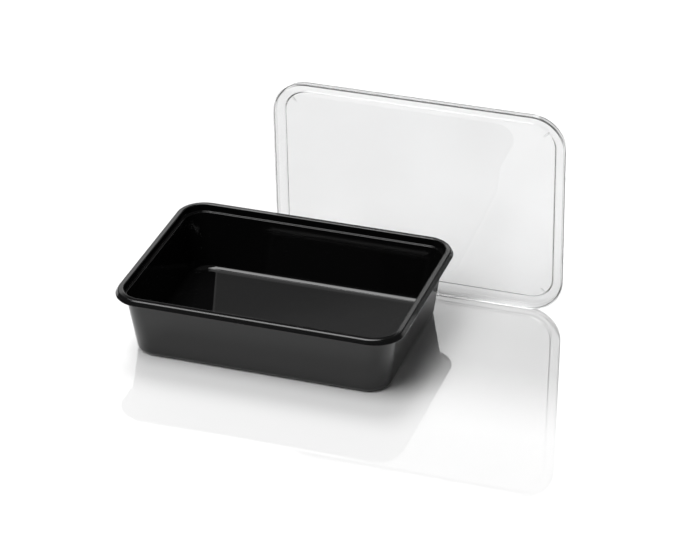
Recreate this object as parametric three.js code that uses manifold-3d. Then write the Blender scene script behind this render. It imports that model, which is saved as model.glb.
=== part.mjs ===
// Takeaway meal container: a shallow rectangular tray with a turned-down rim, and its clear lid,
// which stands on its long edge behind the tray and leans forward against the rim.
// Millimetres, +Z up. The origin is the centre of the tray's flat underside, X along its length.

import * as THREE from "three";
import { mergeVertices } from "three/addons/utils/BufferGeometryUtils.js";
import Module from "manifold-3d";

// Tray, outside. An inset is a distance in from the outline of the rim's lower edge.
const TRAY_LENGTH = 173;
const TRAY_WIDTH = 127.3;
const TRAY_HEIGHT = 41;
const RIM_CORNER = 17.9;
const BODY_CORNER = 13.4;
const BODY_TOP_INSET = 5.35;
const BASE_INSET = 9.9;
const BASE_FILLET = 3.6;
const FLOOR_FILLET = 3.4;
const TRAY_WALL = 0.75;

// Rim: a narrow crown that falls a little outwards, and a skirt that flares below it to a thin upright edge.
const CROWN_INNER_INSET = 4.7;
const CROWN_OUTER_INSET = 1.55;
const CROWN_FALL = 0.4;
const SKIRT_DEPTH = 3.35;
const SKIRT_LAND = 0.5;
const CROWN_INNER_ROUND = 0.65;
const CROWN_OUTER_ROUND = 0.9;
const SKIRT_EDGE_ROUND = 0.2;

// The ledge inside the mouth, on which another tray stacks.
const LEDGE_DROP = 4.75;
const LEDGE_INSET = 6;
const LEDGE_SLOPE = 0.1;
const LEDGE_ROUND = 0.3;

// Lid, as it lies: its skirt's edge is at height 0 and its outer face is up.
const LID_LENGTH = 177;
const LID_WIDTH = 129.9;
const LID_CORNER = 21;
const LID_WALL = 0.6;
const LID_HEIGHT = 4.8;
const LID_RING_INSET = 0.85;
const LID_RING_ROUND = 0.9;
const BEAD_HEIGHT = 0.95;
const BEAD_WIDTH = 1.25;
const BEAD_STEP = 0.5;
const BEAD_ROUND = 0.3;
const PANEL_INSET = 6.4;
const PANEL_DROP = 1.6;
const PANEL_DRAFT = 0.25;
const PANEL_ROUND = 0.4;

// Short ribs that point into the corners of the lid's panel.
const RIB_LENGTH = 4.6;
const RIB_WIDTH = 1.1;
const RIB_HEIGHT = 0.5;
const RIB_SINK = 0.2;
const RIB_INSET = 12.2;

// How the lid stands: its middle to the right of the tray's, its top leaning towards the tray.
const LID_SHIFT = 59.9;
const LID_LEAN_DEG = 2.6;
const REST_GAP = 0.3;

// How finely round stretches are divided.
const CORNER_STEPS = 10;
const FILLET_STEPS = 5;
const EDGE_STEPS = 3;
const CAP_MARGIN = 4;

const wasm = await Module();
wasm.setup();

// A corner of a section: its inset and height, the radius of the outline there, seen from above,
// and the radius that rounds the corner itself.
function corner(inset, height, planRadius, round = 0, steps = EDGE_STEPS) {
  return { inset, height, planRadius, round, steps };
}

// The section's corners with each rounded one replaced by points on its arc.
function roundedSection(corners) {
  const section = [];
  corners.forEach((here, i) => {
    if (here.round === 0) {
      section.push(here);
      return;
    }
    const at = new THREE.Vector2(here.inset, here.height);
    const before = new THREE.Vector2(corners[i - 1].inset, corners[i - 1].height).sub(at).normalize();
    const after = new THREE.Vector2(corners[i + 1].inset, corners[i + 1].height).sub(at).normalize();
    const halfAngle = Math.acos(before.dot(after)) / 2;
    const middle = before.clone().add(after).normalize().multiplyScalar(here.round / Math.sin(halfAngle)).add(at);
    const start = before.clone().multiplyScalar(here.round / Math.tan(halfAngle)).add(at).sub(middle);
    const sweep = Math.PI - 2 * halfAngle;
    const turn = Math.sign(after.cross(before)) * sweep;
    for (let step = 0; step <= here.steps; step += 1) {
      const point = start.clone().rotateAround(new THREE.Vector2(), turn * (step / here.steps)).add(middle);
      section.push(corner(point.x, point.y, here.planRadius + here.inset - point.x));
    }
  });
  return section;
}

// One ring of the shell: a rounded rectangle at the height and inset of a point of the section.
function ringPoints(length, width, { inset, height, planRadius }) {
  const points = [];
  const centreX = length / 2 - inset - planRadius;
  const centreY = width / 2 - inset - planRadius;
  for (let quarter = 0; quarter < 4; quarter += 1) {
    const sideX = quarter === 0 || quarter === 3 ? 1 : -1;
    const sideY = quarter < 2 ? 1 : -1;
    for (let step = 0; step <= CORNER_STEPS; step += 1) {
      const angle = (quarter + step / CORNER_STEPS) * (Math.PI / 2);
      points.push([
        sideX * centreX + planRadius * Math.cos(angle),
        sideY * centreY + planRadius * Math.sin(angle),
        height,
      ]);
    }
  }
  return points;
}

// A closed shell: the section swept round the outline, shut by a flat cap at each end of the section.
function sweptShell(length, width, corners) {
  const section = roundedSection(corners);
  const rings = section.map((point) => ringPoints(length, width, point));
  const count = rings[0].length;
  const positions = rings.flat(2);
  const index = [];
  for (let ring = 0; ring + 1 < rings.length; ring += 1) {
    for (let i = 0; i < count; i += 1) {
      const next = (i + 1) % count;
      const low = ring * count;
      const high = low + count;
      index.push(low + i, low + next, high + next);
      index.push(low + i, high + next, high + i);
    }
  }
  const firstCentre = positions.length / 3;
  const lastCentre = firstCentre + 1;
  const lastRing = (rings.length - 1) * count;
  positions.push(0, 0, section[0].height);
  positions.push(0, 0, section[section.length - 1].height);
  for (let i = 0; i < count; i += 1) {
    const next = (i + 1) % count;
    index.push(firstCentre, next, i);
    index.push(lastCentre, lastRing + i, lastRing + next);
  }
  const geometry = new THREE.BufferGeometry();
  geometry.setAttribute("position", new THREE.Float32BufferAttribute(positions, 3));
  geometry.setIndex(index);
  return geometry;
}

// The tray's section, from its underside up the outside, over the rim and down to its floor.
function trayCorners() {
  const rimPlan = (inset) => RIM_CORNER - inset;
  const skirtEdge = TRAY_HEIGHT - SKIRT_DEPTH;
  const crownOuter = TRAY_HEIGHT - CROWN_FALL;
  const ledge = TRAY_HEIGHT - LEDGE_DROP;
  const shelf = ledge - TRAY_WALL;
  const draft = (BASE_INSET - BODY_TOP_INSET) / skirtEdge;
  const shelfInset = BASE_INSET - draft * shelf;
  const neckInset = CROWN_INNER_INSET - TRAY_WALL;
  const channelTop = crownOuter - TRAY_WALL;
  const innerPlan = BODY_CORNER - TRAY_WALL;
  const capInset = BASE_INSET + BASE_FILLET + CAP_MARGIN;
  return [
    corner(capInset, 0, BODY_CORNER - BASE_FILLET),
    corner(BASE_INSET, 0, BODY_CORNER, BASE_FILLET, FILLET_STEPS),
    corner(shelfInset, shelf, BODY_CORNER),
    corner(neckInset, shelf, rimPlan(neckInset)),
    corner(neckInset, channelTop, rimPlan(neckInset)),
    corner(CROWN_OUTER_INSET + TRAY_WALL, channelTop, rimPlan(CROWN_OUTER_INSET + TRAY_WALL)),
    corner(TRAY_WALL, skirtEdge, rimPlan(TRAY_WALL)),
    corner(0, skirtEdge, rimPlan(0), SKIRT_EDGE_ROUND),
    corner(0, skirtEdge + SKIRT_LAND, rimPlan(0), SKIRT_EDGE_ROUND),
    corner(CROWN_OUTER_INSET, crownOuter, rimPlan(CROWN_OUTER_INSET), CROWN_OUTER_ROUND),
    corner(CROWN_INNER_INSET, TRAY_HEIGHT, rimPlan(CROWN_INNER_INSET), CROWN_INNER_ROUND),
    corner(CROWN_INNER_INSET + LEDGE_SLOPE, ledge, rimPlan(CROWN_INNER_INSET), LEDGE_ROUND),
    corner(LEDGE_INSET, ledge - LEDGE_SLOPE, innerPlan, LEDGE_ROUND),
    corner(BASE_INSET + TRAY_WALL, TRAY_WALL, innerPlan, FLOOR_FILLET, FILLET_STEPS),
    corner(capInset, TRAY_WALL, innerPlan - FLOOR_FILLET),
  ];
}

// The lid's section, from its inner face out to the bead on its skirt, and back over its outer face.
function lidCorners() {
  const plan = (inset) => LID_CORNER - inset;
  const ringInside = LID_HEIGHT - LID_WALL;
  const panelInside = ringInside - PANEL_DROP;
  const panelOutside = panelInside + LID_WALL;
  const stepOutset = PANEL_INSET + LID_WALL;
  const capInset = stepOutset + CAP_MARGIN;
  return [
    corner(capInset, panelInside, plan(capInset)),
    corner(PANEL_INSET, panelInside, plan(PANEL_INSET), PANEL_ROUND),
    corner(PANEL_INSET - PANEL_DRAFT, ringInside, plan(PANEL_INSET), PANEL_ROUND),
    corner(LID_RING_INSET + LID_WALL, ringInside, plan(LID_RING_INSET + LID_WALL), PANEL_ROUND),
    corner(BEAD_WIDTH, 0, plan(BEAD_WIDTH), BEAD_ROUND),
    corner(0, 0, plan(0), BEAD_ROUND),
    corner(0, BEAD_HEIGHT, plan(0), BEAD_ROUND),
    corner(BEAD_STEP, BEAD_HEIGHT, plan(BEAD_STEP)),
    corner(LID_RING_INSET, LID_HEIGHT, plan(LID_RING_INSET), LID_RING_ROUND, FILLET_STEPS),
    corner(stepOutset - PANEL_DRAFT, LID_HEIGHT, plan(stepOutset), PANEL_ROUND),
    corner(stepOutset, panelOutside, plan(stepOutset), PANEL_ROUND),
    corner(capInset, panelOutside, plan(capInset)),
  ];
}

// One rib, lying on the diagonal of a corner of the lid, sunk a little into the panel.
function cornerRib(sideX, sideY) {
  const panelOutside = LID_HEIGHT - PANEL_DROP;
  const rib = new THREE.BoxGeometry(RIB_LENGTH, RIB_WIDTH, RIB_HEIGHT + RIB_SINK);
  rib.rotateZ((sideX * sideY * Math.PI) / 4);
  rib.translate(
    sideX * (LID_LENGTH / 2 - RIB_INSET),
    sideY * (LID_WIDTH / 2 - RIB_INSET),
    panelOutside + (RIB_HEIGHT - RIB_SINK) / 2,
  );
  return rib;
}

// A closed three.js geometry as a solid that can be joined.
function solidOf(geometry) {
  geometry.deleteAttribute("normal");
  geometry.deleteAttribute("uv");
  const merged = mergeVertices(geometry);
  return new wasm.Manifold(new wasm.Mesh({
    numProp: 3,
    vertProperties: new Float32Array(merged.attributes.position.array),
    triVerts: new Uint32Array(merged.index.array),
  }));
}

// The solid's triangles as a three.js geometry.
function geometryOf(solid) {
  const mesh = solid.getMesh();
  const geometry = new THREE.BufferGeometry();
  geometry.setAttribute("position", new THREE.BufferAttribute(new Float32Array(mesh.vertProperties), 3));
  geometry.setIndex(new THREE.BufferAttribute(new Uint32Array(mesh.triVerts), 1));
  return geometry;
}

function namedMesh(name, geometry, material) {
  geometry.computeVertexNormals();
  const mesh = new THREE.Mesh(geometry, material);
  mesh.name = name;
  return mesh;
}

function tray() {
  const blackPlastic = new THREE.MeshStandardMaterial({ color: 0x0b0b0c, roughness: 0.28, metalness: 0 });
  return namedMesh("tray", sweptShell(TRAY_LENGTH, TRAY_WIDTH, trayCorners()), blackPlastic);
}

function lid() {
  const clearPlastic = new THREE.MeshStandardMaterial({
    color: 0xf3f5f6,
    roughness: 0.08,
    metalness: 0,
    transparent: true,
    opacity: 0.25,
  });
  let solid = solidOf(sweptShell(LID_LENGTH, LID_WIDTH, lidCorners()));
  for (const sideX of [-1, 1]) {
    for (const sideY of [-1, 1]) {
      solid = solid.add(solidOf(cornerRib(sideX, sideY)));
    }
  }
  return namedMesh("lid", geometryOf(solid), clearPlastic);
}

// The lid stands with its inner side to the tray, its skirt's edge just clear of the rim.
function leaningLid() {
  const lean = THREE.MathUtils.degToRad(LID_LEAN_DEG);
  const rimEdge = TRAY_HEIGHT - SKIRT_DEPTH;
  const footY = TRAY_WIDTH / 2 + REST_GAP / Math.cos(lean) + rimEdge * Math.tan(lean);
  const group = new THREE.Group();
  group.rotation.x = lean - Math.PI / 2;
  group.position.set(
    LID_SHIFT,
    footY - (LID_WIDTH / 2) * Math.sin(lean),
    (LID_WIDTH / 2) * Math.cos(lean),
  );
  group.add(lid());
  return group;
}

const container = new THREE.Group();
container.add(tray());
container.add(leaningLid());

export default container;
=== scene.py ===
import math
from collections import namedtuple

import bmesh
import bpy
from mathutils import Matrix, Vector


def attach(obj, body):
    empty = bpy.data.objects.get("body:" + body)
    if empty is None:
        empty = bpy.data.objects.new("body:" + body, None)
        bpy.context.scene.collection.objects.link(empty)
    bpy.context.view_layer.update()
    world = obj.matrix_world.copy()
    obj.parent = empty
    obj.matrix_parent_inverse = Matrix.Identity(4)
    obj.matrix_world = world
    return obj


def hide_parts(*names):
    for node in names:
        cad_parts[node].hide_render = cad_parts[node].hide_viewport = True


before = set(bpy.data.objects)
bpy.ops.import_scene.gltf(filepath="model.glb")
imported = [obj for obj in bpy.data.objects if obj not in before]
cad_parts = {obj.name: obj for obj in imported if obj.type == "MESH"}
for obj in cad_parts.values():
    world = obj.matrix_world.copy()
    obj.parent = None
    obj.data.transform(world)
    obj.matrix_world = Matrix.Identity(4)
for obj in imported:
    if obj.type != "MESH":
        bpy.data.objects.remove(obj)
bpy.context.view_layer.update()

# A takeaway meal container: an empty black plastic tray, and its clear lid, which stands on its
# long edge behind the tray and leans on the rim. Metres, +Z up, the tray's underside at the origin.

bl_info = {
    "name": "Takeaway Meal Container",
    "version": (1, 0, 0),
    "blender": (4, 5, 0),
    "location": "3D View > Sidebar > Container",
    "description": "Makes a moulded black food tray and its clear lid around the packed solids",
    "category": "Add Mesh",
}

MM = 0.001

# How finely the shells are divided. A support ring keeps a flat face flat in smooth shading.
FACET_ANGLE = math.radians(9)
CORNER_STEPS = 24
SIDE_STEPS = 12
SUPPORT = 0.25 * MM
WELD = 0.001 * MM
CAP_SHARES = (0, 0.2, 0.4, 0.6, 0.8, 0.96)
CAP_MARGIN = 4 * MM
OUTSIDE, INSIDE = 0, 1

# A corner of a moulding's section: its distance in from the outline and its height, the radius of
# the outline there, seen from above, the radius that rounds it, and the side that it is on.
Corner = namedtuple("Corner", "inset height plan bend side")
# A point of the finished section, and the share of its ring's full size at which the ring is made.
Point = namedtuple("Point", "inset height plan share side")


def length(name, millimetres, description):
    return bpy.props.FloatProperty(
        name=name, description=description, default=millimetres * MM, unit="LENGTH", precision=5)


class TraySizes(bpy.types.PropertyGroup):
    long_side: length("Length", 173, "Length over the rim")
    short_side: length("Width", 127.3, "Width over the rim")
    height: length("Height", 41, "Height of the crown above the underside")
    rim_corner: length("Rim corner", 17.9, "Corner radius of the rim, seen from above")
    body_corner: length("Body corner", 13.4, "Corner radius of the body, seen from above")
    body_top_inset: length("Body inset", 5.35, "How far the body stays in from the rim, at its top")
    base_inset: length("Base inset", 9.9, "How far the foot of the walls is in from the rim")
    base_fillet: length("Base fillet", 3.6, "Radius between the underside and the walls")
    floor_fillet: length("Floor fillet", 3.4, "Radius between the floor and the walls, inside")
    wall: length("Wall", 0.75, "Wall thickness")
    crown_inner_inset: length("Crown, inner edge", 4.7, "Inset of the crown's inner edge")
    crown_outer_inset: length("Crown, outer edge", 1.55, "Inset of the crown's outer edge")
    crown_fall: length("Crown fall", 0.4, "How far the crown falls outwards")
    crown_inner_round: length("Crown inner round", 0.65, "Rounding of the crown's inner edge")
    crown_outer_round: length("Crown outer round", 0.9, "Rounding of the crown's outer edge")
    skirt_depth: length("Skirt depth", 3.35, "How far the skirt's edge is below the crown")
    skirt_land: length("Skirt land", 0.5, "Height of the upright strip at the skirt's edge")
    skirt_round: length("Skirt round", 0.2, "Rounding of the skirt's edge")
    ledge_drop: length("Ledge drop", 4.75, "Depth of the stacking ledge below the crown")
    ledge_inset: length("Ledge inset", 6, "Inset of the ledge's inner edge")
    ledge_slope: length("Ledge slope", 0.1, "Fall of the ledge, and draft of the wall above it")
    ledge_round: length("Ledge round", 0.3, "Rounding of the ledge's edges")


class LidSizes(bpy.types.PropertyGroup):
    long_side: length("Length", 177, "Length of the lid")
    short_side: length("Width", 129.9, "Width of the lid")
    corner: length("Corner", 21, "Corner radius of the lid")
    wall: length("Wall", 0.6, "Wall thickness")
    height: length("Height", 4.8, "Height of the lid as it lies")
    ring_inset: length("Ring inset", 0.85, "Inset of the ring's outer edge")
    ring_round: length("Ring round", 0.9, "Rounding between the ring and the skirt")
    bead_height: length("Bead height", 0.95, "Height of the bead at the skirt's edge")
    bead_width: length("Bead width", 1.25, "Width of the bead")
    bead_step: length("Bead step", 0.5, "How far the bead stands out of the skirt")
    bead_round: length("Bead round", 0.3, "Rounding of the bead")
    panel_inset: length("Panel inset", 6.4, "Inset of the step down to the panel")
    panel_drop: length("Panel drop", 1.6, "Depth of the panel below the ring")
    panel_draft: length("Panel draft", 0.25, "Draft of the step")
    panel_round: length("Panel round", 0.4, "Rounding of the step's edges")
    rib_length: length("Rib length", 4.6, "Length of a corner rib")
    rib_width: length("Rib width", 1.1, "Width of a corner rib")
    rib_height: length("Rib height", 0.5, "Height of a corner rib above the panel")
    rib_inset: length("Rib inset", 12.2, "Distance of a rib's middle in from the lid's edges")
    shift: length("Shift", 59.9, "How far the lid's middle is to the right of the tray's")
    gap: length("Gap", 0.3, "Gap between the lid's edge and the tray's rim")
    lean: bpy.props.FloatProperty(
        name="Lean", description="How far the lid leans forward", default=math.radians(2.6),
        subtype="ANGLE")


class Finishes(bpy.types.PropertyGroup):
    tray_colour: bpy.props.FloatVectorProperty(
        name="Tray", description="Colour of the tray's plastic", subtype="COLOR", size=3,
        default=(0.0028, 0.0028, 0.0029), min=0, max=1)
    lid_colour: bpy.props.FloatVectorProperty(
        name="Lid", description="Tint of the lid's clear plastic", subtype="COLOR", size=3,
        default=(0.86, 0.864, 0.867), min=0, max=1)
    floor_colour: bpy.props.FloatVectorProperty(
        name="Floor", description="Colour of the floor", subtype="COLOR", size=3,
        default=(0.9, 0.9, 0.9), min=0, max=1)
    inside_roughness: bpy.props.FloatProperty(
        name="Inside roughness", description="Roughness of the polished inside of the tray",
        default=0.05, min=0, max=1, subtype="FACTOR")
    outside_roughness: bpy.props.FloatProperty(
        name="Outside roughness", description="Roughness of the outside of the tray",
        default=0.1, min=0, max=1, subtype="FACTOR")
    floor_mirror: bpy.props.FloatProperty(
        name="Floor mirror", description="Share of the floor's light that it mirrors",
        default=0.14, min=0, max=1, subtype="FACTOR")
    lid_mirror: bpy.props.FloatProperty(
        name="Floor mirror, by the lid",
        description="Share of the floor's light that it mirrors at the lid",
        default=0.62, min=0, max=1, subtype="FACTOR")


class StudioSettings(bpy.types.PropertyGroup):
    azimuth: bpy.props.FloatProperty(
        name="Azimuth", description="How far the camera stands to the right of the tray's front",
        default=math.radians(18.53), subtype="ANGLE")
    elevation: bpy.props.FloatProperty(
        name="Elevation", description="How high the camera stands above the floor",
        default=math.radians(29.63), subtype="ANGLE")
    roll: bpy.props.FloatProperty(
        name="Roll", description="Turn of the camera about its axis", default=math.radians(-0.3),
        subtype="ANGLE")
    distance: length("Distance", 1694, "Distance of the camera from the origin, along its axis")
    focal_pixels: bpy.props.FloatProperty(
        name="Focal length", description="Focal length of the camera, in pixels of the image",
        default=2895, subtype="PIXEL")
    origin_column: bpy.props.FloatProperty(
        name="Origin column", description="Image column at which the origin shows",
        default=287.2, subtype="PIXEL")
    origin_row: bpy.props.FloatProperty(
        name="Origin row", description="Image row at which the origin shows",
        default=328.7, subtype="PIXEL")
    softbox_radiance: bpy.props.FloatProperty(
        name="Softbox", description="Brightness of the large softbox above the front left", default=6.6)
    back_radiance: bpy.props.FloatProperty(
        name="Back light", description="Brightness of the light behind the left of the set", default=7.2)
    wall_brightness: bpy.props.FloatProperty(
        name="Backdrop", description="Brightness of the pale backdrop behind the set", default=1.2)
    low_brightness: bpy.props.FloatProperty(
        name="Low walls", description="Brightness of the low pale edge, all round but at the far left",
        default=0.7)
    ceiling_brightness: bpy.props.FloatProperty(
        name="Studio", description="Brightness of the dark studio elsewhere", default=0.1)


IMAGE_WIDTH, IMAGE_HEIGHT = 680, 544
SENSOR_WIDTH = 36

# Clear plastic seen in the floor's mirror is drawn darker than when it is seen directly: painted shade,
# standing in for shade on the floor by the lid.
LID_CLOUD_COLOUR = (0.79, 0.79, 0.79)
LID_MIRROR_PAINTED_SHADE_COLOUR = (0.48, 0.48, 0.48)
LID_SHADOW_COLOUR = (0.55, 0.55, 0.55)
DUST_COLOUR = (0.02, 0.02, 0.02)

# Where the floor's mirror sets in, along Y: before the tray, and then, stronger, up to the lid.
FRONT_MIRROR_START, FRONT_MIRROR_FULL = -160 * MM, -125 * MM
LID_MIRROR_START, LID_MIRROR_FULL = -75 * MM, 5 * MM
MIRROR_ROUGHNESS = 0.02
FLOOR_SIZE = 20
FLOOR_DROP = 0.02 * MM

# A light: its angle to the right of straight behind the set, its height in degrees, its width and
# its height for each metre of distance.
Lamp = namedtuple("Lamp", "azimuth elevation width height")
LAMP_REACH = 6
SOFTBOX = Lamp(-147, 66.5, 0.5, 0.78)
SOFTBOX_EDGE = Lamp(-147, 40.5, 0.48, 0.164)
SOFTBOX_EDGE_SHARE = 0.6
BACK_LIGHT = Lamp(-32, 62, 0.4, 0.45)

# The studio's walls, as ramps over the parts of a direction. X is to the right, Y to the back and Z
# up. A ramp is a start, an end, and the values there.
Ramp = namedtuple("Ramp", "start end low high", defaults=(0.0, 1.0))
BACKDROP_TOP = Ramp(0.55, 0.66, 1.0, 0.0)
BACKDROP_FADE = Ramp(0.22, 0.42, 0.6, 1.0)
BACKDROP_STRIP = Ramp(-0.19, -0.14, 1.0, 2.3)
BACKDROP_BEHIND = Ramp(0.2, 0.35)
BACKDROP_LEFT = Ramp(-0.75, -0.6)
BACKDROP_RIGHT = Ramp(-0.08, 0.02, 1.0, 0.0)
DIM_TOP = Ramp(0.53, 0.58, 1.0, 0.45)
DIM_TOP_RIGHT = Ramp(-0.22, -0.17)
LOW_TOP = Ramp(0.12, 0.2, 1.0, 0.0)
LOW_LEFT = Ramp(-0.6, -0.45)


def section_arc(before, here, after):
    """The points of the arc that rounds a corner between its two neighbours."""
    at = Vector((here.inset, here.height))
    to_before = (Vector((before.inset, before.height)) - at).normalized()
    to_after = (Vector((after.inset, after.height)) - at).normalized()
    half_angle = to_before.angle(to_after) / 2
    middle = at + (to_before + to_after).normalized() * here.bend / math.sin(half_angle)
    start = at + to_before * here.bend / math.tan(half_angle) - middle
    sweep = math.pi - 2 * half_angle
    sign = math.copysign(1, to_after.cross(to_before))
    steps = max(3, math.ceil(sweep / FACET_ANGLE))
    points = []
    for step in range(steps + 1):
        spot = middle + Matrix.Rotation(sign * sweep * step / steps, 2) @ start
        plan = here.plan + here.inset - spot.x
        points.append(Point(spot.x, spot.y, plan, 1, here.side))
    return points


def blended(first, last, share):
    """The point that lies a share of the way from one point of a section to another."""
    values = [a + (b - a) * share for a, b in zip(first, last)]
    return Point(*values)


def rounded_section(corners):
    """A section's corners as points: arcs at the rounded ones, and supports beside them."""
    runs = [[Point(corners[0].inset, corners[0].height, corners[0].plan, 1, corners[0].side)]]
    for before, here, after in zip(corners, corners[1:], corners[2:]):
        if here.bend > 0:
            runs.append(section_arc(before, here, after))
        else:
            runs.append([Point(here.inset, here.height, here.plan, 1, here.side)])
    runs.append([Point(corners[-1].inset, corners[-1].height, corners[-1].plan, 1, corners[-1].side)])
    points = list(runs[0])
    for run in runs[1:]:
        start, end = points[-1], run[0]
        straight = math.hypot(end.inset - start.inset, end.height - start.height)
        if straight > 4 * SUPPORT:
            points.append(blended(start, end, SUPPORT / straight))
            points.append(blended(start, end, 1 - SUPPORT / straight))
        points.extend(run)
    return points


def capped(points):
    """The section with rings added from the middle of each flat cap outwards."""
    first = [points[0]._replace(share=share) for share in CAP_SHARES]
    last = [points[-1]._replace(share=share) for share in reversed(CAP_SHARES)]
    return first + points + last


def tray_corners(size):
    """The tray's section, from its underside up the outside, over the rim and down to its floor."""
    skirt_edge = size.height - size.skirt_depth
    crown_outer = size.height - size.crown_fall
    ledge = size.height - size.ledge_drop
    shelf = ledge - size.wall
    shelf_inset = size.base_inset - (size.base_inset - size.body_top_inset) * shelf / skirt_edge
    neck_inset = size.crown_inner_inset - size.wall
    channel_top = crown_outer - size.wall
    channel_inset = size.crown_outer_inset + size.wall
    inner_plan = size.body_corner - size.wall
    cap_inset = size.base_inset + size.base_fillet + CAP_MARGIN

    def rim(inset, height, bend, side=OUTSIDE):
        return Corner(inset, height, size.rim_corner - inset, bend, side)

    return [
        Corner(cap_inset, 0, size.body_corner - size.base_fillet, 0, OUTSIDE),
        Corner(size.base_inset, 0, size.body_corner, size.base_fillet, OUTSIDE),
        Corner(shelf_inset, shelf, size.body_corner, size.skirt_round, OUTSIDE),
        rim(neck_inset, shelf, size.skirt_round),
        rim(neck_inset, channel_top, size.skirt_round),
        rim(channel_inset, channel_top, size.skirt_round),
        rim(size.wall, skirt_edge, size.skirt_round),
        rim(0, skirt_edge, size.skirt_round),
        rim(0, skirt_edge + size.skirt_land, size.skirt_round),
        rim(size.crown_outer_inset, crown_outer, size.crown_outer_round),
        rim(size.crown_inner_inset, size.height, size.crown_inner_round, INSIDE),
        Corner(size.crown_inner_inset + size.ledge_slope, ledge,
               size.rim_corner - size.crown_inner_inset, size.ledge_round, INSIDE),
        Corner(size.ledge_inset, ledge - size.ledge_slope, inner_plan, size.ledge_round, INSIDE),
        Corner(size.base_inset + size.wall, size.wall, inner_plan, size.floor_fillet, INSIDE),
        Corner(cap_inset, size.wall, inner_plan - size.floor_fillet, 0, INSIDE),
    ]


def lid_corners(size):
    """The lid's section as it lies, from its inner face out to the bead and back over its outer face."""
    ring_inside = size.height - size.wall
    panel_inside = ring_inside - size.panel_drop
    step_inset = size.panel_inset + size.wall
    cap_inset = step_inset + CAP_MARGIN

    def spot(inset, height, bend, side, outline_inset=None):
        return Corner(inset, height, size.corner - (outline_inset or inset), bend, side)

    return [
        spot(cap_inset, panel_inside, 0, INSIDE),
        spot(size.panel_inset, panel_inside, size.panel_round, INSIDE),
        spot(size.panel_inset - size.panel_draft, ring_inside, size.panel_round, INSIDE, size.panel_inset),
        spot(size.ring_inset + size.wall, ring_inside, size.panel_round, INSIDE),
        spot(size.bead_width, 0, size.bead_round, INSIDE),
        spot(0, 0, size.bead_round, OUTSIDE),
        spot(0, size.bead_height, size.bead_round, OUTSIDE),
        spot(size.bead_step, size.bead_height, size.bead_round / 2, OUTSIDE),
        spot(size.ring_inset, size.height, size.ring_round, OUTSIDE),
        spot(step_inset - size.panel_draft, size.height, size.panel_round, OUTSIDE, step_inset),
        spot(step_inset, panel_inside + size.wall, size.panel_round, OUTSIDE),
        spot(cap_inset, panel_inside + size.wall, 0, OUTSIDE),
    ]


def feed(tree, socket, value):
    """Gives a node's input a value, or links another node's output to it."""
    if isinstance(value, bpy.types.NodeSocket):
        tree.links.new(value, socket)
    else:
        socket.default_value = value


def place_node(tree, kind, inputs=None, **settings):
    """A new node with its settings made and its inputs fed."""
    node = tree.nodes.new(kind)
    for name, value in settings.items():
        setattr(node, name, value)
    for key, value in (inputs or {}).items():
        feed(tree, node.inputs[key], value)
    return node


def work_out(tree, operation, *values):
    """The result of a math node."""
    node = tree.nodes.new("ShaderNodeMath")
    node.operation = operation
    for socket, value in zip(node.inputs, values):
        feed(tree, socket, value)
    return node.outputs[0]


def geometry_tree(name, numbers=(), counts=()):
    """A Geometry Nodes tree with a geometry input, named number inputs and a material input."""
    tree = bpy.data.node_groups.new(name, "GeometryNodeTree")
    tree.is_modifier = True
    tree.interface.new_socket("Geometry", in_out="INPUT", socket_type="NodeSocketGeometry")
    for number in numbers:
        tree.interface.new_socket(number, in_out="INPUT", socket_type="NodeSocketFloat")
    for count in counts:
        tree.interface.new_socket(count, in_out="INPUT", socket_type="NodeSocketInt")
    tree.interface.new_socket("Material", in_out="INPUT", socket_type="NodeSocketMaterial")
    tree.interface.new_socket("Geometry", in_out="OUTPUT", socket_type="NodeSocketGeometry")
    return tree


def ends_of(tree):
    """The outputs of a tree's group input, and the input of its group output."""
    given = tree.nodes.new("NodeGroupInput").outputs
    result = tree.nodes.new("NodeGroupOutput").inputs["Geometry"]
    return given, result


def finish_tree(tree, geometry, material, result):
    """Ends a tree with its instances made real and its material set."""
    real = place_node(tree, "GeometryNodeRealizeInstances", {"Geometry": geometry})
    dressed = place_node(
        tree, "GeometryNodeSetMaterial", {"Geometry": real.outputs[0], "Material": material})
    tree.links.new(dressed.outputs[0], result)


def sampled(tree, section, point, name=None):
    """A named number of the section's point, or its place where no name is given."""
    kind = "FLOAT" if name else "FLOAT_VECTOR"
    if name:
        value = place_node(tree, "GeometryNodeInputNamedAttribute", {"Name": name}, data_type="FLOAT")
    else:
        value = place_node(tree, "GeometryNodeInputPosition")
    sample = place_node(
        tree, "GeometryNodeSampleIndex",
        {"Geometry": section, "Value": value.outputs[0], "Index": point}, data_type=kind, domain="POINT")
    return sample.outputs[0]


def corner_side(tree, quarter, operation):
    """1 or -1: the side of the middle on which a quarter's corner lies, along X or along Y."""
    angle = work_out(tree, "MULTIPLY", work_out(tree, "ADD", quarter, 0.5), math.pi / 2)
    return work_out(tree, "SIGN", work_out(tree, operation, angle))


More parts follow.
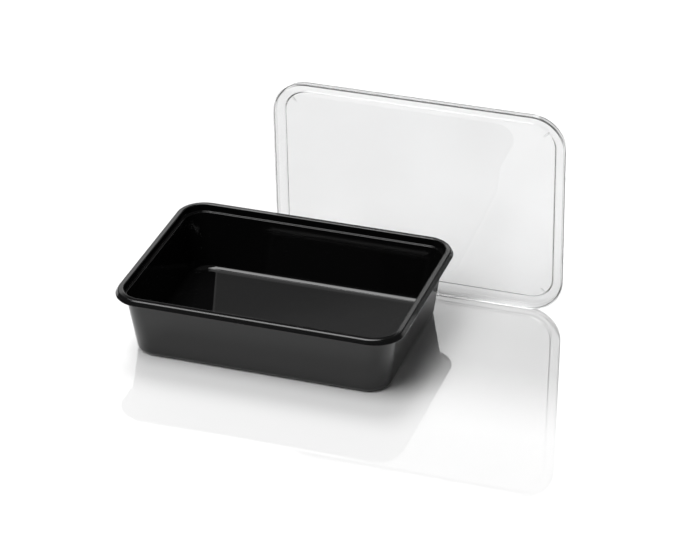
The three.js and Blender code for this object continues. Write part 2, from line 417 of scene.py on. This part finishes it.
def ring_place(tree, given, step, inset, plan, full_length, operation):
    """One coordinate of a ring's point, from its step round the outline."""
    per_quarter = work_out(tree, "ADD", given["Corner Steps"], given["Side Steps"])
    quarter = work_out(tree, "FLOOR", work_out(tree, "DIVIDE", step, per_quarter))
    within = work_out(tree, "SUBTRACT", step, work_out(tree, "MULTIPLY", quarter, per_quarter))
    turned = work_out(tree, "MINIMUM", work_out(tree, "DIVIDE", within, given["Corner Steps"]), 1.0)
    angle = work_out(tree, "MULTIPLY", work_out(tree, "ADD", quarter, turned), math.pi / 2)
    past = work_out(tree, "SUBTRACT", work_out(tree, "SUBTRACT", within, given["Corner Steps"]), 1.0)
    inner_steps = work_out(tree, "SUBTRACT", given["Side Steps"], 2.0)
    share = work_out(tree, "DIVIDE", past, inner_steps)
    along = place_node(
        tree, "ShaderNodeMapRange",
        {"Value": share, "From Min": 0.0, "From Max": 1.0, "To Min": given["Support Share"],
         "To Max": work_out(tree, "SUBTRACT", 1.0, given["Support Share"])}, clamp=False)
    slide = place_node(tree, "ShaderNodeClamp", {"Value": along.outputs[0]}).outputs[0]
    here = corner_side(tree, quarter, operation)
    there = corner_side(tree, work_out(tree, "ADD", quarter, 1.0), operation)
    side = place_node(
        tree, "ShaderNodeMapRange",
        {"Value": slide, "From Min": 0.0, "From Max": 1.0, "To Min": here, "To Max": there}).outputs[0]
    half = work_out(tree, "DIVIDE", full_length, 2.0)
    reach = work_out(tree, "SUBTRACT", work_out(tree, "SUBTRACT", half, inset), plan)
    centre = work_out(tree, "MULTIPLY", side, reach)
    return work_out(tree, "MULTIPLY_ADD", plan, work_out(tree, operation, angle), centre)


def moulded_shell_tree():
    """Sweeps a section round a rounded rectangle, to one closed shell."""
    tree = geometry_tree(
        "Moulded shell", ("Length", "Width", "Support Share", "Weld Distance"),
        ("Corner Steps", "Side Steps"))
    given, result = ends_of(tree)
    section = given["Geometry"]
    size = place_node(
        tree, "GeometryNodeAttributeDomainSize", {"Geometry": section}, component="MESH")
    points = size.outputs["Point Count"]
    per_quarter = work_out(tree, "ADD", given["Corner Steps"], given["Side Steps"])
    columns = work_out(tree, "MULTIPLY_ADD", per_quarter, 4.0, 1.0)
    grid = place_node(
        tree, "GeometryNodeMeshGrid", {"Vertices X": columns, "Vertices Y": points})
    index = place_node(tree, "GeometryNodeInputIndex").outputs[0]
    step = work_out(tree, "FLOOR", work_out(tree, "DIVIDE", index, points))
    point = work_out(tree, "SUBTRACT", index, work_out(tree, "MULTIPLY", step, points))
    place = place_node(
        tree, "ShaderNodeSeparateXYZ", {"Vector": sampled(tree, section, point)}).outputs
    plan = sampled(tree, section, point, "plan")
    share = sampled(tree, section, point, "share")
    across = ring_place(tree, given, step, place["X"], plan, given["Length"], "COSINE")
    deep = ring_place(tree, given, step, place["X"], plan, given["Width"], "SINE")
    spot = place_node(
        tree, "ShaderNodeCombineXYZ",
        {"X": work_out(tree, "MULTIPLY", across, share), "Y": work_out(tree, "MULTIPLY", deep, share),
         "Z": place["Z"]}).outputs[0]
    sided = place_node(
        tree, "GeometryNodeStoreNamedAttribute",
        {"Geometry": grid.outputs["Mesh"], "Name": "side", "Value": sampled(tree, section, point, "side")},
        data_type="FLOAT", domain="POINT")
    shaped = place_node(
        tree, "GeometryNodeSetPosition", {"Geometry": sided.outputs[0], "Position": spot})
    closed = place_node(
        tree, "GeometryNodeMergeByDistance",
        {"Geometry": shaped.outputs[0], "Distance": given["Weld Distance"]})
    smooth = place_node(tree, "GeometryNodeSetShadeSmooth", {"Geometry": closed.outputs[0]})
    finish_tree(tree, smooth.outputs[0], given["Material"], result)
    return tree


def corner_ribs_tree():
    """Fuses a low round rib to a panel near each corner, lying along the corner's diagonal."""
    tree = geometry_tree(
        "Corner ribs", ("Rib Length", "Rib Width", "Rib Height", "Spread X", "Spread Y", "Panel Height"))
    given, result = ends_of(tree)
    spots = place_node(
        tree, "GeometryNodeMeshGrid",
        {"Size X": given["Spread X"], "Size Y": given["Spread Y"], "Vertices X": 2, "Vertices Y": 2})
    lift = place_node(tree, "ShaderNodeCombineXYZ", {"Z": given["Panel Height"]})
    raised = place_node(
        tree, "GeometryNodeTransform",
        {"Geometry": spots.outputs["Mesh"], "Translation": lift.outputs[0]})
    at = place_node(
        tree, "ShaderNodeSeparateXYZ",
        {"Vector": place_node(tree, "GeometryNodeInputPosition").outputs[0]}).outputs
    diagonal = work_out(tree, "SIGN", work_out(tree, "MULTIPLY", at["X"], at["Y"]))
    turn = place_node(
        tree, "ShaderNodeCombineXYZ", {"Z": work_out(tree, "MULTIPLY", diagonal, math.pi / 4)})
    ball = place_node(
        tree, "GeometryNodeMeshUVSphere", {"Segments": 32, "Rings": 20, "Radius": 0.5})
    girth = place_node(
        tree, "ShaderNodeCombineXYZ",
        {"X": given["Rib Length"], "Y": given["Rib Width"],
         "Z": work_out(tree, "MULTIPLY", given["Rib Height"], 2.0)})
    ribs = place_node(
        tree, "GeometryNodeInstanceOnPoints",
        {"Points": raised.outputs[0], "Instance": ball.outputs["Mesh"], "Rotation": turn.outputs[0],
         "Scale": girth.outputs[0]})
    real = place_node(tree, "GeometryNodeRealizeInstances", {"Geometry": ribs.outputs[0]})
    fused = place_node(tree, "GeometryNodeMeshBoolean", operation="UNION", solver="EXACT")
    tree.links.new(given["Geometry"], fused.inputs["Mesh 2"])
    tree.links.new(real.outputs[0], fused.inputs["Mesh 2"])
    bend = place_node(tree, "GeometryNodeInputMeshEdgeAngle").outputs[0]
    crease = work_out(tree, "GREATER_THAN", bend, math.radians(30))
    smooth = place_node(tree, "GeometryNodeSetShadeSmooth", {"Geometry": fused.outputs[0]})
    creased = place_node(
        tree, "GeometryNodeSetShadeSmooth",
        {"Geometry": smooth.outputs[0], "Selection": crease, "Shade Smooth": False}, domain="EDGE")
    finish_tree(tree, creased.outputs[0], given["Material"], result)
    return tree


def section_object(name, points):
    """An object whose mesh holds a section's points: inset along X, height along Z."""
    mesh = bpy.data.meshes.new(name)
    mesh.from_pydata([(point.inset, 0, point.height) for point in points], [], [])
    for field in ("plan", "share", "side"):
        attribute = mesh.attributes.new(field, "FLOAT", "POINT")
        attribute.data.foreach_set("value", [getattr(point, field) for point in points])
    made = bpy.data.objects.new(name, mesh)
    bpy.context.scene.collection.objects.link(made)
    return made


def run_tree(made, tree, values):
    """Runs a tree on an object with its inputs set by name, and keeps the result as a plain mesh."""
    modifier = made.modifiers.new(tree.name, "NODES")
    modifier.node_group = tree
    for item in tree.interface.items_tree:
        if item.in_out == "INPUT" and item.name in values:
            modifier[item.identifier] = values[item.name]
    graph = bpy.context.evaluated_depsgraph_get()
    mesh = bpy.data.meshes.new_from_object(made.evaluated_get(graph), depsgraph=graph)
    made.modifiers.clear()
    made.data = mesh
    if not mesh.polygons:
        raise RuntimeError(f"{made.name}: the tree {tree.name} made no faces")


def moulded_shell(name, corners, long_side, short_side, material):
    """One closed shell of the section that the corners give."""
    made = section_object(name, capped(rounded_section(corners)))
    values = {
        "Length": long_side,
        "Width": short_side,
        "Support Share": SUPPORT / short_side,
        "Weld Distance": WELD,
        "Corner Steps": CORNER_STEPS,
        "Side Steps": SIDE_STEPS,
        "Material": material,
    }
    run_tree(made, moulded_shell_tree(), values)
    return made


def check_closed(made):
    """Raises an error where a piece has an open or a doubled edge."""
    shape = bmesh.new()
    shape.from_mesh(made.data)
    loose = [edge for edge in shape.edges if len(edge.link_faces) != 2]
    volume = shape.calc_volume(signed=True)
    shape.free()
    if loose or volume <= 0:
        raise RuntimeError(f"{made.name}: {len(loose)} open edges, volume {volume}")


def stand_lid(made, size, tray):
    """Stands the lid on its long edge, its inner side to the tray, just clear of the rim."""
    rim_edge = tray.height - tray.skirt_depth
    foot = tray.short_side / 2 + size.gap / math.cos(size.lean) + rim_edge * math.tan(size.lean)
    half = size.short_side / 2
    place = Vector((size.shift, foot - half * math.sin(size.lean), half * math.cos(size.lean)))
    made.data.transform(Matrix.Translation(place) @ Matrix.Rotation(size.lean - math.pi / 2, 4, "X"))


def shader_group(name, inputs, outputs):
    """A shader node group with named number inputs and outputs."""
    group = bpy.data.node_groups.new(name, "ShaderNodeTree")
    for label, value in inputs.items():
        socket = group.interface.new_socket(label, in_out="INPUT", socket_type="NodeSocketFloat")
        socket.default_value = value
    for label in outputs:
        group.interface.new_socket(label, in_out="OUTPUT", socket_type="NodeSocketFloat")
    return group


def moulded_skin_group():
    """The marks of a moulded surface: slow ripples, fine scuffs and specks of dust."""
    group = shader_group(
        "Moulded skin", {"Ripple Scale": 40.0, "Scuff Scale": 300.0, "Speck Scale": 900.0},
        ("Ripple", "Scuffs", "Specks"))
    given = group.nodes.new("NodeGroupInput").outputs
    result = group.nodes.new("NodeGroupOutput").inputs
    at = place_node(group, "ShaderNodeTexCoord").outputs["Object"]
    ripple = place_node(
        group, "ShaderNodeTexNoise",
        {"Vector": at, "Scale": given["Ripple Scale"], "Detail": 1.0, "Roughness": 0.35})
    feed(group, result["Ripple"], ripple.outputs[0])
    stretched = place_node(
        group, "ShaderNodeMapping", {"Vector": at, "Rotation": (0.4, 0.7, 0.9), "Scale": (1, 14, 5)})
    scuffs = place_node(
        group, "ShaderNodeTexNoise",
        {"Vector": stretched.outputs[0], "Scale": given["Scuff Scale"], "Detail": 2.0, "Roughness": 0.6})
    marks = place_node(
        group, "ShaderNodeMapRange", {"Value": scuffs.outputs[0], "From Min": 0.6, "From Max": 0.78})
    feed(group, result["Scuffs"], marks.outputs[0])
    specks = place_node(
        group, "ShaderNodeTexVoronoi", {"Vector": at, "Scale": given["Speck Scale"], "Randomness": 1.0})
    dust = place_node(
        group, "ShaderNodeMapRange",
        {"Value": specks.outputs["Distance"], "From Min": 0.05, "From Max": 0.12,
         "To Min": 1.0, "To Max": 0.0})
    feed(group, result["Specks"], dust.outputs[0])
    return group


def skin_group():
    """The group that every moulded material uses, built once."""
    return bpy.data.node_groups.get("Moulded skin") or moulded_skin_group()


def new_material(name):
    """A node material with a Principled shader, and that shader's node."""
    material = bpy.data.materials.new(name)
    material.use_nodes = True
    return material, material.node_tree.nodes["Principled BSDF"]


def set_inputs(shader, values):
    for name, value in values.items():
        shader.inputs[name].default_value = value


def black_plastic(finish):
    """Black polypropylene: polished inside the tray, a little duller outside."""
    material, shader = new_material("Black polypropylene")
    tree = material.node_tree
    skin = place_node(
        tree, "ShaderNodeGroup",
        {"Ripple Scale": 45.0, "Scuff Scale": 260.0, "Speck Scale": 700.0}, node_tree=skin_group())
    side = place_node(tree, "ShaderNodeAttribute", attribute_name="side").outputs["Fac"]
    polish = place_node(
        tree, "ShaderNodeMapRange",
        {"Value": side, "To Min": finish.outside_roughness, "To Max": finish.inside_roughness})
    worn = work_out(tree, "MULTIPLY_ADD", skin.outputs["Scuffs"], 0.03, polish.outputs[0])
    colour = place_node(
        tree, "ShaderNodeMix",
        {"Factor": work_out(tree, "MULTIPLY", skin.outputs["Specks"], 0.12),
         "A": (*finish.tray_colour, 1), "B": (*DUST_COLOUR, 1)}, data_type="RGBA")
    ripple = place_node(
        tree, "ShaderNodeBump", {"Height": skin.outputs["Ripple"], "Strength": 0.35, "Distance": 0.05 * MM})
    feed(tree, shader.inputs["Base Color"], colour.outputs["Result"])
    feed(tree, shader.inputs["Roughness"], worn)
    feed(tree, shader.inputs["Normal"], ripple.outputs[0])
    set_inputs(shader, {"Metallic": 0.0, "IOR": 1.5})
    return material


def clear_plastic(finish):
    """The lid's thin clear plastic, faintly clouded, and darkened by painted shade where the floor mirrors
    it. Its shadow is light.
    """
    material, shader = new_material("Clear polypropylene")
    tree = material.node_tree
    skin = place_node(
        tree, "ShaderNodeGroup",
        {"Ripple Scale": 22.0, "Scuff Scale": 200.0, "Speck Scale": 600.0}, node_tree=skin_group())
    tint = place_node(
        tree, "ShaderNodeMix",
        {"Factor": skin.outputs["Ripple"], "A": (*finish.lid_colour, 1), "B": (*LID_CLOUD_COLOUR, 1)},
        data_type="RGBA")
    worn = work_out(tree, "MULTIPLY_ADD", skin.outputs["Scuffs"], 0.03, 0.015)
    ripple = place_node(
        tree, "ShaderNodeBump", {"Height": skin.outputs["Ripple"], "Strength": 0.4, "Distance": 0.1 * MM})
    # Painted shade: where the floor mirrors the lid, the lid's tint is darkened to stand in for shade on
    # the floor there.
    glossy_depth = place_node(tree, "ShaderNodeLightPath").outputs["Glossy Depth"]
    mirror_shade_share = work_out(tree, "MINIMUM", glossy_depth, 1.0)
    mirror_shaded_tint = place_node(
        tree, "ShaderNodeMix",
        {"Factor": mirror_shade_share, "A": tint.outputs["Result"], "B": (*LID_MIRROR_PAINTED_SHADE_COLOUR, 1)},
        data_type="RGBA")
    feed(tree, shader.inputs["Base Color"], mirror_shaded_tint.outputs["Result"])
    feed(tree, shader.inputs["Roughness"], worn)
    feed(tree, shader.inputs["Normal"], ripple.outputs[0])
    set_inputs(shader, {"Metallic": 0.0, "Transmission Weight": 1.0, "IOR": 1.46})
    let_light_through(tree, shader, LID_SHADOW_COLOUR)
    return material


def let_light_through(tree, shader, colour):
    """Shadow rays pass the clear plastic dimmed to a colour, instead of stopping at it."""
    clear = place_node(tree, "ShaderNodeBsdfTransparent", {"Color": (*colour, 1)})
    rays = place_node(tree, "ShaderNodeLightPath")
    mixed = place_node(
        tree, "ShaderNodeMixShader",
        {0: rays.outputs["Is Shadow Ray"], 1: shader.outputs[0], 2: clear.outputs[0]})
    tree.links.new(mixed.outputs[0], tree.nodes["Material Output"].inputs["Surface"])


def ramp(tree, value, slope):
    """A value that goes smoothly from low to high between a ramp's start and its end."""
    node = place_node(
        tree, "ShaderNodeMapRange",
        {"Value": value, "From Min": slope.start, "From Max": slope.end,
         "To Min": slope.low, "To Max": slope.high},
        interpolation_type="SMOOTHSTEP")
    return node.outputs[0]


def product(tree, *values):
    """The values multiplied together."""
    result = values[0]
    for value in values[1:]:
        result = work_out(tree, "MULTIPLY", result, value)
    return result


def pale_floor(finish):
    """White acrylic that mirrors what stands on it, faintly in front and more strongly by the lid."""
    material, shader = new_material("Pale floor")
    tree = material.node_tree
    seen = place_node(tree, "ShaderNodeLightPath").outputs["Is Camera Ray"]
    deep = place_node(
        tree, "ShaderNodeSeparateXYZ",
        {"Vector": place_node(tree, "ShaderNodeTexCoord").outputs["Object"]}).outputs["Y"]
    by_front = Ramp(FRONT_MIRROR_START, FRONT_MIRROR_FULL, 0.0, finish.floor_mirror)
    # The stronger mirror by the lid shows the lid with its painted shade, which darkens the floor there.
    by_lid = Ramp(LID_MIRROR_START, LID_MIRROR_FULL, 0.0, finish.lid_mirror - finish.floor_mirror)
    share = work_out(tree, "ADD", ramp(tree, deep, by_front), ramp(tree, deep, by_lid))
    set_inputs(shader, {
        "Base Color": (*finish.floor_colour, 1), "Roughness": 1.0, "Specular IOR Level": 0.0})
    mirror = place_node(
        tree, "ShaderNodeBsdfGlossy", {"Color": (1, 1, 1, 1), "Roughness": MIRROR_ROUGHNESS})
    mixed = place_node(
        tree, "ShaderNodeMixShader",
        {0: work_out(tree, "MULTIPLY", seen, share), 1: shader.outputs[0],
         2: mirror.outputs[0]})
    tree.links.new(mixed.outputs[0], tree.nodes["Material Output"].inputs["Surface"])
    return material


def make_floor(finish):
    """A wide flat floor just below the container's underside."""
    shape = bmesh.new()
    bmesh.ops.create_grid(shape, x_segments=8, y_segments=8, size=FLOOR_SIZE)
    mesh = bpy.data.meshes.new("floor")
    shape.to_mesh(mesh)
    shape.free()
    mesh.transform(Matrix.Translation((0, 0, -FLOOR_DROP)))
    mesh.materials.append(pale_floor(finish))
    made = bpy.data.objects.new("floor", mesh)
    bpy.context.scene.collection.objects.link(made)


def from_angles(azimuth_deg, elevation_deg):
    """A direction, from its angle to the right of straight behind the set and its height."""
    azimuth, elevation = math.radians(azimuth_deg), math.radians(elevation_deg)
    level = math.cos(elevation)
    return Vector((math.sin(azimuth) * level, math.cos(azimuth) * level, math.sin(elevation)))


def hang_light(name, lamp, radiance):
    """A rectangular light that faces the set."""
    light = bpy.data.lights.new(name, "AREA")
    light.shape = "RECTANGLE"
    light.size = lamp.width * LAMP_REACH
    light.size_y = lamp.height * LAMP_REACH
    light.energy = radiance * math.pi * light.size * light.size_y
    made = bpy.data.objects.new(name, light)
    toward = from_angles(lamp.azimuth, lamp.elevation)
    made.location = toward * LAMP_REACH
    made.rotation_mode = "QUATERNION"
    made.rotation_quaternion = toward.to_track_quat("Z", "Y")
    bpy.context.scene.collection.objects.link(made)


def make_surroundings(studio):
    """A pale backdrop behind the set, a low pale edge round it, and a dark studio elsewhere."""
    world = bpy.data.worlds.new("studio")
    world.use_nodes = True
    tree = world.node_tree
    toward = place_node(tree, "ShaderNodeTexCoord").outputs["Generated"]
    part = place_node(tree, "ShaderNodeSeparateXYZ", {"Vector": toward}).outputs
    upper_left = work_out(
        tree, "MAXIMUM", ramp(tree, part["Z"], DIM_TOP), ramp(tree, part["X"], DIM_TOP_RIGHT))
    backdrop = product(
        tree,
        ramp(tree, part["Z"], BACKDROP_TOP),
        ramp(tree, part["Z"], BACKDROP_FADE),
        ramp(tree, part["Y"], BACKDROP_BEHIND),
        ramp(tree, part["X"], BACKDROP_LEFT),
        ramp(tree, part["X"], BACKDROP_RIGHT),
        ramp(tree, part["X"], BACKDROP_STRIP),
        upper_left,
        studio.wall_brightness)
    low = product(
        tree, ramp(tree, part["Z"], LOW_TOP), ramp(tree, part["X"], LOW_LEFT), studio.low_brightness)
    walls = work_out(tree, "MAXIMUM", backdrop, low)
    brightness = work_out(tree, "MAXIMUM", walls, studio.ceiling_brightness)
    feed(tree, tree.nodes["Background"].inputs["Strength"], brightness)
    set_inputs(tree.nodes["Background"], {"Color": (1, 1, 1, 1)})
    bpy.context.scene.world = world


def make_camera(studio):
    """A camera that shows the origin at its place in the image."""
    across = Vector((math.cos(studio.azimuth), math.sin(studio.azimuth), 0))
    back = Vector((
        math.sin(studio.azimuth) * math.cos(studio.elevation),
        -math.cos(studio.azimuth) * math.cos(studio.elevation),
        math.sin(studio.elevation)))
    roll = Matrix.Rotation(studio.roll, 3, back)
    right = roll @ across
    up = roll @ back.cross(across)
    scale = studio.distance / studio.focal_pixels
    shown_right = (studio.origin_column - IMAGE_WIDTH / 2) * scale
    shown_up = (IMAGE_HEIGHT / 2 - studio.origin_row) * scale
    data = bpy.data.cameras.new("camera")
    data.sensor_width = SENSOR_WIDTH
    data.lens = studio.focal_pixels * SENSOR_WIDTH / IMAGE_WIDTH
    data.clip_start = 0.05
    data.clip_end = 100
    made = bpy.data.objects.new("camera", data)
    turned = Matrix((right, up, back)).transposed().to_4x4()
    stand = back * studio.distance - right * shown_right - up * shown_up
    made.matrix_world = Matrix.Translation(stand) @ turned
    bpy.context.scene.collection.objects.link(made)
    bpy.context.scene.camera = made


class CONTAINER_OT_tray(bpy.types.Operator):
    """Makes the black tray"""

    bl_idname = "container.tray"
    bl_label = "Make Tray"

    def execute(self, context):
        size = context.scene.container_tray
        material = black_plastic(context.scene.container_finish)
        made = moulded_shell("moulded_tray", tray_corners(size), size.long_side, size.short_side, material)
        check_closed(made)
        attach(made, "root")
        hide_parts("tray")
        return {"FINISHED"}


class CONTAINER_OT_lid(bpy.types.Operator):
    """Makes the clear lid, with its corner ribs"""

    bl_idname = "container.lid"
    bl_label = "Make Lid"

    def execute(self, context):
        size = context.scene.container_lid
        material = clear_plastic(context.scene.container_finish)
        made = moulded_shell("moulded_lid", lid_corners(size), size.long_side, size.short_side, material)
        ribs = {
            "Rib Length": size.rib_length,
            "Rib Width": size.rib_width,
            "Rib Height": size.rib_height,
            "Spread X": size.long_side - 2 * size.rib_inset,
            "Spread Y": size.short_side - 2 * size.rib_inset,
            "Panel Height": size.height - size.panel_drop,
            "Material": material,
        }
        run_tree(made, corner_ribs_tree(), ribs)
        stand_lid(made, size, context.scene.container_tray)
        check_closed(made)
        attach(made, "root")
        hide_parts("lid")
        return {"FINISHED"}


class CONTAINER_OT_stage(bpy.types.Operator):
    """Makes the floor, the lights and the camera"""

    bl_idname = "container.stage"
    bl_label = "Make Stage"

    def execute(self, context):
        make_floor(context.scene.container_finish)
        studio = context.scene.container_studio
        hang_light("softbox", SOFTBOX, studio.softbox_radiance)
        hang_light("softbox edge", SOFTBOX_EDGE, SOFTBOX_EDGE_SHARE * studio.softbox_radiance)
        hang_light("back light", BACK_LIGHT, studio.back_radiance)
        make_surroundings(studio)
        make_camera(studio)
        context.scene.view_settings.view_transform = "Standard"
        return {"FINISHED"}


class CONTAINER_PT_panel(bpy.types.Panel):
    """Sizes and steps of the container"""

    bl_idname = "CONTAINER_PT_panel"
    bl_label = "Container"
    bl_space_type = "VIEW_3D"
    bl_region_type = "UI"
    bl_category = "Container"

    def draw(self, context):
        for title, name in SETTINGS.items():
            group = getattr(context.scene, name)
            box = self.layout.box()
            box.label(text=title)
            for field in group.bl_rna.properties.keys():
                if field not in ("rna_type", "name"):
                    box.prop(group, field)
        for step in STEPS:
            self.layout.operator(step.bl_idname)


SETTINGS = {
    "Tray": "container_tray",
    "Lid": "container_lid",
    "Finishes": "container_finish",
    "Studio": "container_studio",
}
GROUPS = (TraySizes, LidSizes, Finishes, StudioSettings)
STEPS = (CONTAINER_OT_tray, CONTAINER_OT_lid, CONTAINER_OT_stage)


def register():
    for kind in (*GROUPS, *STEPS, CONTAINER_PT_panel):
        bpy.utils.register_class(kind)
    for name, group in zip(SETTINGS.values(), GROUPS):
        setattr(bpy.types.Scene, name, bpy.props.PointerProperty(type=group))


def unregister():
    for name in SETTINGS.values():
        delattr(bpy.types.Scene, name)
    for kind in reversed((*GROUPS, *STEPS, CONTAINER_PT_panel)):
        bpy.utils.unregister_class(kind)


def main():
    register()
    bpy.ops.container.tray()
    bpy.ops.container.lid()
    bpy.ops.container.stage()


if __name__ == "__main__":
    main()
